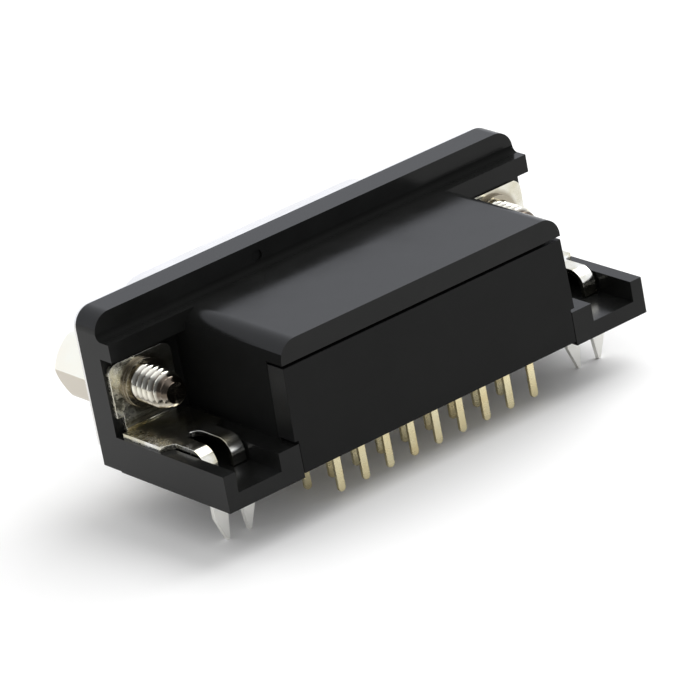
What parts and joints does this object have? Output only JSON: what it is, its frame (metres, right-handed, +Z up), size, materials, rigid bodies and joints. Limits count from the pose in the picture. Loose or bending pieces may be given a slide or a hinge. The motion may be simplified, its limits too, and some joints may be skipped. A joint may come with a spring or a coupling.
{
  "type": "right-angle d-sub connector",
  "caption": "Right-angle high-density D-sub socket for a printed board, with a black housing, a drawn metal shell, jackscrews, board locks and bent contact tails.",
  "frame": {"origin": "on the board plane, midway between the two board locks", "axes": "+X along the connector, towards the left end when seen from the back; +Y from the mating face to the back; +Z up from the board"},
  "size_m": [0.0392, 0.0212, 0.0162],
  "materials": {
    "housing_plastic": "black moulded thermoplastic, satin to semi-gloss",
    "cover_plastic": "black moulded thermoplastic, fine matt",
    "insulator_plastic": "black moulded thermoplastic",
    "shell_plating": "tin-nickel plated drawn steel, soft sheen",
    "bracket_nickel": "bright nickel-plated sheet",
    "jackscrew_nickel": "nickel-plated turned steel",
    "contact_plating": "pale gold flash over copper alloy"
  },
  "bodies": {
    "root": {"housing": "housing_plastic", "rear_cover": "cover_plastic", "front_shell": "shell_plating", "contact_insulator": "insulator_plastic", "bracket_left": "bracket_nickel", "bracket_right": "bracket_nickel", "jackscrew_left": "jackscrew_nickel", "jackscrew_right": "jackscrew_nickel", "contact_01": "contact_plating", "contact_02": "contact_plating", "contact_03": "contact_plating", "contact_04": "contact_plating", "contact_05": "contact_plating", "contact_06": "contact_plating", "contact_07": "contact_plating", "contact_08": "contact_plating", "contact_09": "contact_plating", "contact_10": "contact_plating", "contact_11": "contact_plating", "contact_12": "contact_plating", "contact_13": "contact_plating", "contact_14": "contact_plating", "contact_15": "contact_plating", "contact_16": "contact_plating", "contact_17": "contact_plating", "contact_18": "contact_plating", "contact_19": "contact_plating", "contact_20": "contact_plating", "contact_21": "contact_plating", "contact_22": "contact_plating", "contact_23": "contact_plating", "contact_24": "contact_plating", "contact_25": "contact_plating", "contact_26": "contact_plating"}
  },
  "joints": []
}
